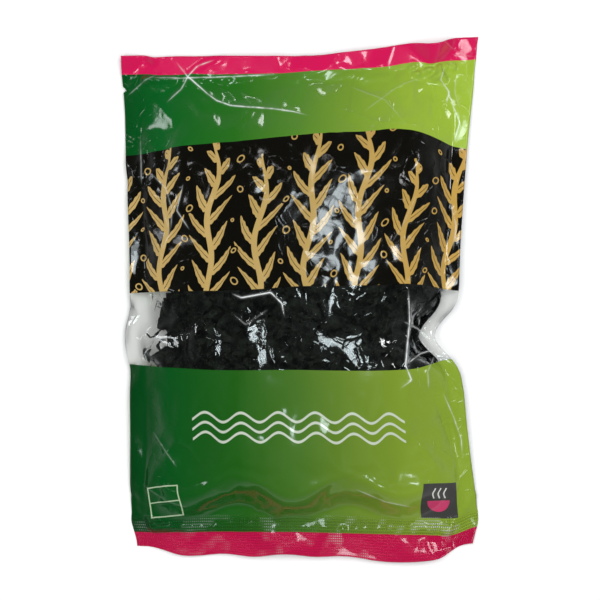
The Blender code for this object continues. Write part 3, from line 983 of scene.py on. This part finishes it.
def blended(tree, share, first, second):
    """Mixes two colours: the first where share is 0 and the second where it is 1."""
    mix = tree.nodes.new("ShaderNodeMix")
    mix.data_type = "RGBA"
    feed(tree, mix.inputs["Factor"], share)
    feed(tree, mix.inputs[6], first)
    feed(tree, mix.inputs[7], second)
    return mix.outputs[2]


def noise_texture(tree, place, scale, detail=2.0):
    texture = node(tree, "ShaderNodeTexNoise")
    set_inputs(texture, Scale=scale, Detail=detail)
    feed(tree, texture.inputs["Vector"], place)
    return texture


def noise_field(tree, place, scale, detail=2.0):
    return Field(tree, noise_texture(tree, place, scale, detail).outputs[0])


def film_place(tree):
    """How far across and along the flat film a spot is, in millimetres."""
    uv = node(tree, "ShaderNodeUVMap", uv_map="film")
    parts = node(tree, "ShaderNodeSeparateXYZ")
    tree.links.new(uv.outputs[0], parts.inputs[0])
    across = Field(tree, parts.outputs[0]) * (FLAT_WIDTH / MM)
    along = Field(tree, parts.outputs[1]) * (FLAT_LENGTH / MM)
    return across, along


FLOAT, VECTOR = "NodeSocketFloat", "NodeSocketVector"


# The kelp print, in millimetres of film: its wavy stems and how high they reach, the leaves to both sides
# of them, and the bubbles in the gaps
STEM_SPACING, STEM_SHIFT = 23.2, 4.0
LEAN, LEAN_RUN = 2.2, 17
SWAY, SWAY_RUN, SWAY_TURN = 1.7, 6.2, 2.1
TIP, TIP_SPREADS, TIP_TAPER = 191.0, (9.0, 8.0), 22.0
STEM_HALF = 0.35
LEAF_REACH, LEAF_HALF, LEAF_PITCH = 9.6, 6.0, 11.2
LEAF_CLIMB, LEAF_BEND, LEAF_OFFSET, LEAF_STAGGER = 0.72, 0.055, 5.6, 3.7
LEAF_SHOULDER, LEAF_POINT, LEAF_END = 0.55, 0.8, 0.985
FRILL, FRILL_RATE = 0.22, 2.7
MIDRIB_HALF, MIDRIB_FROM, MIDRIB_TO = 0.17, 1.6, 0.82
BUBBLE_PITCH, BUBBLE_STAGGER, BUBBLE_WANDER = 13.4, 6.1, 1.2
BUBBLE_SIZE, BUBBLE_RANGE, BUBBLE_LINE, BUBBLE_HALO = 1.35, 0.45, 0.62, 0.75
PRINT_BLUR = 0.12


def kelp_print():
    """A grove of kelp, as a mask, and how far out along its leaf a spot is, for its shade."""
    group, given, end = new_group(
        "kelp print", [("Across", FLOAT, 0.0), ("Along", FLOAT, 0.0)], [("Mask", FLOAT), ("Shade", FLOAT)]
    )
    across, along = given["Across"], given["Along"]
    shifted = across + (along * (1 / LEAN_RUN)).sine() * LEAN + STEM_SHIFT
    stand = (shifted * (1 / STEM_SPACING) + 0.5).whole()
    sway = (along * (1 / SWAY_RUN) + stand * SWAY_TURN).sine() * SWAY
    apart = shifted.wrapped(STEM_SPACING) - sway
    out, side = apart.size(), apart.step("GREATER_THAN", 0.0)
    tip = (stand * 1.9).sine() * TIP_SPREADS[0] + TIP + (stand * 4.1).sine() * TIP_SPREADS[1]
    room = ((tip - along) / TIP_TAPER).at_least(0.0).at_most(1.0)
    stem = ((room + STEM_HALF) - out).inside(PRINT_BLUR)
    climb = out * LEAF_CLIMB + out * out * LEAF_BEND
    row = (along + side * LEAF_OFFSET + stand * LEAF_STAGGER - climb).wrapped(LEAF_PITCH).size()
    share = (out / (room.step("POWER", 0.6) * LEAF_REACH).at_least(0.01)).at_most(1.0)
    blade = share.step("POWER", LEAF_SHOULDER) * (1.0 - share).step("POWER", LEAF_POINT)
    frill = (out * FRILL_RATE + stand).sine() * FRILL
    half = blade * LEAF_HALF + frill * (blade * 3.0).at_most(1.0)
    leaf = (half - row).inside(PRINT_BLUR) * (LEAF_END - share).inside(0.02)
    midrib = (MIDRIB_HALF - row).inside(0.1) * (MIDRIB_TO - share).inside(0.1)
    leaf = leaf * (1.0 - midrib * (out - MIDRIB_FROM).inside(0.2))
    grown = stem.at_least(leaf) * (tip - along).inside(0.2)
    gap = shifted + STEM_SPACING / 2
    gap_stand = (gap * (1 / STEM_SPACING) + 0.5).whole()
    bubble_across = gap.wrapped(STEM_SPACING) + (gap_stand * 5.3 + along * 0.31).sine() * BUBBLE_WANDER
    staggered = along + gap_stand * BUBBLE_STAGGER
    bubble_along = staggered.wrapped(BUBBLE_PITCH)
    bubble_row = (staggered * (1 / BUBBLE_PITCH) + 0.5).whole()
    radius = (gap_stand * 2.7 + bubble_row * 1.7).sine() * BUBBLE_RANGE + BUBBLE_SIZE
    away = (bubble_across * bubble_across + bubble_along * bubble_along).step("SQRT")
    hole = (radius - BUBBLE_LINE - away).inside(PRINT_BLUR)
    bubble = (radius - away).inside(PRINT_BLUR) * (1.0 - hole)
    halo = (radius + BUBBLE_HALO - away).inside(PRINT_BLUR)
    feed(group, end.inputs["Mask"], (grown * (1.0 - halo)).at_least(bubble))
    feed(group, end.inputs["Shade"], share)
    return group


# The pressed dots of the bottom seal, in millimetres of film
CRIMP_TOP, CRIMP_BLUR = 19.5, 3.0
DOT_ROWS, DOT_COLUMNS, DOT_HALF_HEIGHT, DOT_HALF_WIDTH = 1.35, 0.95, 0.36, 0.26
# Where the dots carry painted glints: patches of noise, weaker towards the left
GLINT_SCALE, GLINT_LEVEL, GLINTS_FROM, GLINTS_RUN = 85.0, 0.59, 30.0, 110.0


def seal_crimp():
    """Rows of small dots pressed into the bottom seal and just above it, with painted glints on some of the
    dots.
    """
    group, given, end = new_group(
        "seal crimp",
        [("Across", FLOAT, 0.0), ("Along", FLOAT, 0.0), ("Place", VECTOR, None)],
        [("Height", FLOAT), ("Mask", FLOAT), ("Glints", FLOAT)],
    )
    across, along = given["Across"], given["Along"]
    low = (CRIMP_TOP - along).inside(CRIMP_BLUR)
    row = DOT_HALF_HEIGHT - along.wrapped(DOT_ROWS).size()
    dot = DOT_HALF_WIDTH - across.wrapped(DOT_COLUMNS).size()
    pressed = row.inside(0.3) * dot.inside(0.24) * low
    patches = (noise_field(group, given["Place"], GLINT_SCALE) - GLINT_LEVEL).inside(0.1)
    to_right = ((across - GLINTS_FROM) / GLINTS_RUN).at_least(0.25).at_most(1.0)
    feed(group, end.inputs["Height"], pressed)
    feed(group, end.inputs["Mask"], low)
    feed(group, end.inputs["Glints"], pressed * patches * to_right)
    return group


def fold_net(group, place, scale, narrow):
    """A net of fine folds, of which short runs are left here and there."""
    net = node(group, "ShaderNodeTexVoronoi", feature="DISTANCE_TO_EDGE")
    set_inputs(net, Scale=scale)
    group.links.new(place, net.inputs["Vector"])
    fold = (Field(group, net.outputs["Distance"]) * -narrow + 1.0).at_least(0.0)
    kept = (noise_field(group, place, scale * 0.8, 0.0) - 0.52).inside(0.16)
    return fold * fold * kept


DENT_SCALE, GRAIN_SCALE, GRAIN_HEIGHT = 70.0, 1400.0, 0.012
WANDER_SCALE, WANDER = 60.0, 12 * MM
WIDE_NET, FINE_NET = (75.0, 9.0), (190.0, 7.0)


def film_crumple():
    """Soft dents, short fine folds and a faint grain, as a height in millimetres."""
    group, given, end = new_group(
        "film crumple",
        [("Place", VECTOR, None), ("Dents", FLOAT, 1.0), ("Folds", FLOAT, 1.0)],
        [("Height", FLOAT)],
    )
    dents = noise_field(group, given["Place"], DENT_SCALE)
    grain = noise_field(group, given["Place"], GRAIN_SCALE)
    pull = node(group, "ShaderNodeVectorMath", operation="MULTIPLY_ADD")
    feed(group, pull.inputs[0], noise_texture(group, given["Place"], WANDER_SCALE).outputs["Color"])
    pull.inputs[1].default_value = (WANDER, WANDER, WANDER)
    feed(group, pull.inputs[2], given["Place"])
    folds = fold_net(group, pull.outputs[0], *WIDE_NET) + fold_net(group, pull.outputs[0], *FINE_NET) * 0.5
    height = dents * given["Dents"] + folds * given["Folds"] + grain * GRAIN_HEIGHT
    feed(group, end.inputs["Height"], height)
    return group


LINE_STEEPNESS, LINE_HEIGHT = 2.2, 0.16
# Sharpness, strength and breaks of the painted highlight streaks along the creases
STREAK_STEEPNESS, STREAK_STRENGTH, STREAK_BREAKS = 5.5, 1.8, 210.0


def crease_lines():
    """The sharp lines of the creases marked on the film: their height, and the painted highlight laid along
    them.
    """
    group, given, end = new_group(
        "crease lines", [("Place", VECTOR, None)], [("Height", FLOAT), ("Painted highlight", FLOAT)]
    )
    broken = (noise_field(group, given["Place"], STREAK_BREAKS) - 0.42).inside(0.3)
    lines = painted_gleam = None
    for layer in range(CREASE_LAYERS):
        mark = node(group, "ShaderNodeAttribute", attribute_name=f"crease {layer}")
        parts = node(group, "ShaderNodeSeparateXYZ")
        group.links.new(mark.outputs["Vector"], parts.inputs[0])
        beside, strength, painted_highlight = (Field(group, part) for part in parts.outputs)
        line = (beside.size() * -LINE_STEEPNESS).step("EXPONENT") * strength
        streak = (beside.size() * -STREAK_STEEPNESS).step("EXPONENT") * painted_highlight
        lines = line if lines is None else lines + line
        painted_gleam = streak if painted_gleam is None else painted_gleam + streak
    painted_gleam = (painted_gleam * (broken * 0.8 + 0.2) * STREAK_STRENGTH).at_most(1.0)
    feed(group, end.inputs["Height"], lines * LINE_HEIGHT)
    feed(group, end.inputs["Painted highlight"], painted_gleam)
    return group


KELP = kelp_print()
CRIMP = seal_crimp()
CRUMPLE = film_crumple()
LINES = crease_lines()
BAND_TOPS = np.cumsum([height for height, cells in BANDS]).tolist()


def new_material(name):
    material = bpy.data.materials.new(name)
    material.use_nodes = True
    tree = material.node_tree
    shader = tree.nodes["Principled BSDF"]
    return material, tree, shader


def object_place(tree):
    return node(tree, "ShaderNodeTexCoord").outputs["Object"]


# The printed waves and boxes, in millimetres of film. A box has its centre, half its width, half its
# height, its slant and half the width of its outline.
WAVES_ACROSS, WAVES_ALONG, WAVES_HALF_LENGTH = 81.25, 62.5, 49.0
WAVE_PITCH, WAVE_HEIGHT, WAVES_APART, WAVE_HALF = 17, 2.2, 4.6, 0.62
FRONT_PANEL = ((17.5, 27.5), 7.6, 7.0, 0.09, 0.3)
BOWL_PANEL = ((144.5, 28.0), 8.6, 8.0, -0.03, 0.35)
BACK_PANEL = ((81.25, 168.0), 52.0, 30.0, 0.0, 0.4)
RULES_APART, RULE_HALF, RULES_WIDTH, RULES_HEIGHT = 7.5, 0.14, 47.0, 27.0


def wave_trio(across, along):
    """Three level waves one above another, as a mask."""
    swell = (across * (2 * math.pi / WAVE_PITCH)).sine() * WAVE_HEIGHT
    level = along - WAVES_ALONG - swell
    ends = (WAVES_HALF_LENGTH - (across - WAVES_ACROSS).size()).inside(0.3)
    rows = (WAVE_HALF - level.wrapped(WAVES_APART).size()).inside(0.15)
    return rows * (1.5 * WAVES_APART - level.size()).inside(0.1) * ends


def box_line(across, along, centre, half_width, half_height, slant, stroke):
    """The outline and the inside of a slightly slanted box, and the way from its centre."""
    right, up = across - centre[0], along - centre[1]
    x, y = right + up * slant, up - right * slant
    outside = (x.size() - half_width).at_least(y.size() - half_height)
    return (stroke - outside.size()).inside(PRINT_BLUR), (0.0 - outside).inside(PRINT_BLUR), x, y


BOWL_RADIUS, BOWL_RIM = 5.4, 0.4
STEAM_APART, STEAM_HALF, STEAM_WIDTH, STEAM_Y, STEAM_HEIGHT = 2.8, 0.35, 4.2, 3.7, 2.2


def steaming_bowl(x, y):
    """A bowl and the steam over it, as two masks."""
    from_middle = (x * x + (y - BOWL_RIM) * (y - BOWL_RIM)).step("SQRT")
    bowl = (BOWL_RIM - y).inside(0.15) * (BOWL_RADIUS - from_middle).inside(0.15)
    wisp = x.wrapped(STEAM_APART) - (y * 1.3).sine() * 0.5
    steam = (STEAM_HALF - wisp.size()).inside(0.15) * (STEAM_WIDTH - x.size()).inside(0.1)
    return bowl, steam * (STEAM_HEIGHT - (y - STEAM_Y).size()).inside(0.1)


def colour_run(tree, across, tones):
    """A run of colours from the left edge of the film to its right one."""
    run = node(tree, "ShaderNodeValToRGB")
    feed(tree, run.inputs[0], across / (FLAT_WIDTH / MM))
    stops = run.color_ramp.elements
    for share, tone in tones[1:-1]:
        stops.new(share)
    for stop, (share, tone) in zip(stops, tones):
        stop.position = share
        stop.color = shade(*tone)
    return run.outputs[0]


GREENS = ((0.0, (1, 72, 24)), (0.12, (6, 92, 32)), (0.33, (38, 106, 27)), (0.5, (80, 129, 43)),
          (0.66, (118, 152, 48)), (0.82, (144, 174, 56)), (1.0, (156, 186, 58)))
GOLDS = ((0.0, (196, 166, 104)), (0.5, (178, 150, 88)), (1.0, (192, 154, 76)))


def pink_ends(tree, along, colour):
    """The colour with a strip of pink over the bottom seal and a slightly lighter one over the top seal."""
    colour = blended(tree, (BAND_TOPS[0] - along).inside(0.1), colour, shade(198, 16, 74))
    return blended(tree, (along - BAND_TOPS[4]).inside(0.1), colour, shade(208, 22, 84))


def dimmed(tree, colour, strength):
    dim = node(tree, "ShaderNodeHueSaturation")
    set_inputs(dim, Value=strength)
    feed(tree, dim.inputs["Color"], colour)
    return dim.outputs[0]


def front_print(tree, across, along):
    """Colour of the printed front, and where its dark band is."""
    green = colour_run(tree, across, GREENS)
    below_window = (100.0 - along).inside(1.0)
    colour = blended(tree, below_window * 0.85, green, dimmed(tree, green, 0.66))
    colour = blended(tree, wave_trio(across, along) * 0.9, colour, shade(196, 204, 188))
    outline, within, x, y = box_line(across, along, *FRONT_PANEL)
    rule = (0.25 - y.size()).inside(PRINT_BLUR) * within
    colour = blended(tree, outline.at_least(rule) * 0.8, colour, shade(186, 206, 170))
    outline, within, x, y = box_line(across, along, *BOWL_PANEL)
    bowl, steam = steaming_bowl(x, y)
    colour = blended(tree, within, colour, shade(62, 62, 60))
    colour = blended(tree, bowl, colour, shade(196, 60, 104))
    colour = blended(tree, steam, colour, shade(214, 214, 208))
    dark_band = (along - BAND_TOPS[2]).inside(0.1) * (BAND_TOPS[3] - along).inside(0.1)
    kelp = use_group(tree, KELP, Across=across, Along=along)
    leaf_shade = Field(tree, kelp.outputs["Shade"]) * 0.22
    gold = blended(tree, leaf_shade, colour_run(tree, across, GOLDS), shade(130, 98, 44))
    dark = blended(tree, kelp.outputs["Mask"], shade(10, 9, 5), gold)
    colour = blended(tree, dark_band, colour, dark)
    return pink_ends(tree, along, colour), dark_band


def back_print(tree, across, along):
    """Colour of the plain back: green, with a blank ruled panel above and pink end strips."""
    colour = dimmed(tree, colour_run(tree, FLAT_WIDTH / MM - across, GREENS), 0.85)
    outline, panel, x, y = box_line(across, along, *BACK_PANEL)
    rule = (RULE_HALF - y.wrapped(RULES_APART).size()).inside(0.1)
    rule = rule * (RULES_WIDTH - x.size()).inside(0.1) * (RULES_HEIGHT - y.size()).inside(0.1)
    colour = blended(tree, panel, colour, shade(228, 231, 214))
    colour = blended(tree, rule * panel, colour, shade(120, 140, 96))
    return pink_ends(tree, along, colour), 0.0


def film_relief(tree, across, along, dents, folds):
    """The film's dents, folds and seals: their height in millimetres, the seal, and the painted highlights
    along the creases and on the seal's dots.
    """
    place = object_place(tree)
    crumple = use_group(tree, CRUMPLE, Place=place, Dents=dents, Folds=folds)
    crimp = use_group(tree, CRIMP, Across=across, Along=along, Place=place)
    lines = use_group(tree, LINES, Place=place)
    height = Field(tree, crumple.outputs["Height"]) + Field(tree, crimp.outputs["Height"]) * 0.4
    painted_highlight = Field(tree, lines.outputs["Painted highlight"]).at_least(Field(tree, crimp.outputs["Glints"]))
    return height + Field(tree, lines.outputs["Height"]), Field(tree, crimp.outputs["Mask"]), painted_highlight


def surface_normal(tree, height):
    """The normal of a surface with this height in millimetres."""
    relief = node(tree, "ShaderNodeBump")
    set_inputs(relief, Distance=MM, Strength=1.0)
    feed(tree, relief.inputs["Height"], height)
    return relief.outputs[0]


FILM_IOR = 1.5
PALE_FILM = (0.9, 0.92, 0.92, 1.0)
MARGIN_FROM, MARGIN_RUN = 46.0, 22.0
MARGIN_FOLDS, BAND_FOLDS, LEAST_FOLDS = 0.14, 0.07, 0.01
MARGIN_DENTS, LEAST_DENTS = 0.2, 0.1
CLEAR_DENTS, CLEAR_FOLDS = 0.2, 0.13


def printed_film(name, print_on):
    """Glossy printed plastic film."""
    material, tree, shader = new_material(name)
    across, along = film_place(tree)
    colour, dark_band = print_on(tree, across, along)
    from_edge = (across - FLAT_WIDTH / MM / 2).size()
    margin = ((from_edge - MARGIN_FROM) / MARGIN_RUN).at_least(0.0).at_most(1.0)
    dents = margin * MARGIN_DENTS + LEAST_DENTS
    folds = margin * MARGIN_FOLDS + dark_band * BAND_FOLDS + LEAST_FOLDS
    height, crimped, painted_highlight = film_relief(tree, across, along, dents, folds)
    # Painted highlights: the crease lines and the glints on the seal's dots are mixed pale into the print's
    # colour.
    feed(tree, shader.inputs["Base Color"], blended(tree, painted_highlight * 0.85, colour, shade(238, 244, 240)))
    wear = noise_field(tree, object_place(tree), 120.0)
    feed(tree, shader.inputs["Roughness"], wear * 0.12 + crimped * 0.06 + 0.08)
    feed(tree, shader.inputs["Normal"], surface_normal(tree, height))
    set_inputs(shader, IOR=FILM_IOR, Coat_Weight=0.6, Coat_Roughness=0.06)
    return material


def clear_film():
    """Clear film: what lies behind shows through, with the gloss of its surface over it and a pale painted
    highlight along its creases and the seal's dots.
    """
    material, tree, shader = new_material("clear film")
    across, along = film_place(tree)
    height, crimped, painted_highlight = film_relief(tree, across, along, CLEAR_DENTS, CLEAR_FOLDS)
    wear = noise_field(tree, object_place(tree), 90.0)
    feed(tree, shader.inputs["Roughness"], wear * 0.08 + 0.03)
    normal = surface_normal(tree, height)
    feed(tree, shader.inputs["Normal"], normal)
    set_inputs(shader, Base_Color=PALE_FILM, Metallic=1.0)
    clear = node(tree, "ShaderNodeBsdfTransparent")
    set_inputs(clear, Color=(0.99, 0.992, 0.987, 1.0))
    gloss = node(tree, "ShaderNodeFresnel")
    set_inputs(gloss, IOR=FILM_IOR)
    feed(tree, gloss.inputs["Normal"], normal)
    mix = node(tree, "ShaderNodeMixShader")
    feed(tree, mix.inputs[0], gloss.outputs[0])
    tree.links.new(clear.outputs[0], mix.inputs[1])
    tree.links.new(shader.outputs[0], mix.inputs[2])
    # A pale matte shader mixed in where the painted highlights lie
    highlight_paint = node(tree, "ShaderNodeBsdfDiffuse")
    set_inputs(highlight_paint, Color=PALE_FILM)
    painted_gleam = node(tree, "ShaderNodeMixShader")
    feed(tree, painted_gleam.inputs[0], painted_highlight * 0.8)
    tree.links.new(mix.outputs[0], painted_gleam.inputs[1])
    tree.links.new(highlight_paint.outputs[0], painted_gleam.inputs[2])
    tree.links.new(painted_gleam.outputs[0], tree.nodes["Material Output"].inputs["Surface"])
    return material


def dried_seaweed():
    """Black-green dried leaf, ribbed and wrinkled, with a dull shine on its high spots."""
    material, tree, shader = new_material("dried seaweed")
    place = object_place(tree)
    blotch = noise_field(tree, place, 260.0, 4.0)
    tone = (blotch * 3.0 - 1.1).at_least(0.0).at_most(1.0)
    feed(tree, shader.inputs["Base Color"], blended(tree, tone, shade(4, 6, 5), shade(29, 34, 28)))
    wrinkle = noise_field(tree, place, 900.0, 5.0)
    feed(tree, shader.inputs["Roughness"], wrinkle * 0.3 + 0.3)
    shader.inputs["Specular IOR Level"].default_value = 0.35
    feed(tree, shader.inputs["Normal"], surface_normal(tree, wrinkle * 0.5 + blotch * 0.6))
    return material


def pale_table():
    material, tree, shader = new_material("pale table")
    mottle = noise_field(tree, object_place(tree), 8.0)
    colour = blended(tree, mottle, (0.93, 0.93, 0.93, 1), (0.95, 0.95, 0.95, 1))
    feed(tree, shader.inputs["Base Color"], colour)
    shader.inputs["Roughness"].default_value = 0.8
    return material


clear = clear_film()
front_film.data.materials[0] = printed_film("printed film", front_print)
back_film.data.materials[0] = printed_film("back film", back_print)
front_film.data.materials[1] = clear
back_film.data.materials[1] = clear
seaweed = dried_seaweed()
for piece in (heap, front_flakes, back_flakes, strand, curl, ring, hook):
    piece.data.materials.clear()
    piece.data.materials.append(seaweed)
    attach(piece, "root")
for piece, slot in ((front_film, "printed_film"), (back_film, "back_film")):
    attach(piece, "root")
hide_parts("front_film")
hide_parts("back_film")
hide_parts("wakame_heap")
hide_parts("loose_flake_strand")
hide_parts("loose_flake_hook")

bpy.ops.object.select_all(action="DESELECT")
bpy.ops.mesh.primitive_plane_add(size=4.0, location=(0, 0, -0.05 * MM))
table = bpy.context.object
table.name = "table"
table.data.materials.append(pale_table())
table.visible_glossy = False


def soft_light(name, place, width, height, radiance, colour=(1.0, 1.0, 1.0)):
    """A softbox aimed at the middle of the pouch, as bright as asked from anywhere in front of it."""
    light = bpy.data.lights.new(name, "AREA")
    light.shape = "RECTANGLE"
    light.size, light.size_y = width, height
    light.energy = radiance * math.pi * width * height
    light.color = colour
    lamp = bpy.data.objects.new(name, light)
    bpy.context.scene.collection.objects.link(lamp)
    lamp.location = place
    lamp.rotation_euler = (Vector((0, 0, 0.01)) - Vector(place)).to_track_quat("-Z", "Y").to_euler()
    return lamp


soft_light("window pane", (0.27, 0.15, 1.50), 0.31, 0.28, 9.0, (0.86, 0.96, 1.0))
soft_light("roof light", (-0.17, 0.63, 1.40), 0.12, 0.12, 5.0)
soft_light("left light", (-1.10, 0.36, 0.85), 0.14, 0.18, 6.0, (0.94, 0.97, 1.0))
soft_light("right light", (0.95, 0.35, 0.95), 0.15, 0.20, 12.0)
soft_light("head light", (-0.03, 1.34, 0.54), 0.09, 0.07, 11.0)
fill = soft_light("fill", (0, 0, 1.80), 1.60, 1.60, 4.6)
fill.visible_glossy = False

CAMERA_HEIGHT = 1.2
FRAME_WIDTH = 0.270
camera = bpy.data.objects.new("camera", bpy.data.cameras.new("camera"))
bpy.context.scene.collection.objects.link(camera)
camera.location = (0, 0, CAMERA_HEIGHT)
camera.data.sensor_width = 36.0
camera.data.lens = 36.0 * (CAMERA_HEIGHT - SEAM_HEIGHT) / FRAME_WIDTH
bpy.context.scene.camera = camera

world = bpy.data.worlds.new("studio")
bpy.context.scene.world = world
world.use_nodes = True
sky = world.node_tree
toward = node(sky, "ShaderNodeSeparateXYZ")
sky.links.new(node(sky, "ShaderNodeTexCoord").outputs["Generated"], toward.inputs[0])
height = Field(sky, toward.outputs[2])
low_sky = (1.0 - height.at_least(0.0)).step("POWER", 3.0) * height.inside(0.02)
sky.nodes["Background"].inputs["Color"].default_value = (0.97, 0.99, 1.0, 1.0)
feed(sky, sky.nodes["Background"].inputs["Strength"], low_sky * 0.5 + 0.03)
bpy.context.scene.view_settings.view_transform = "Standard"
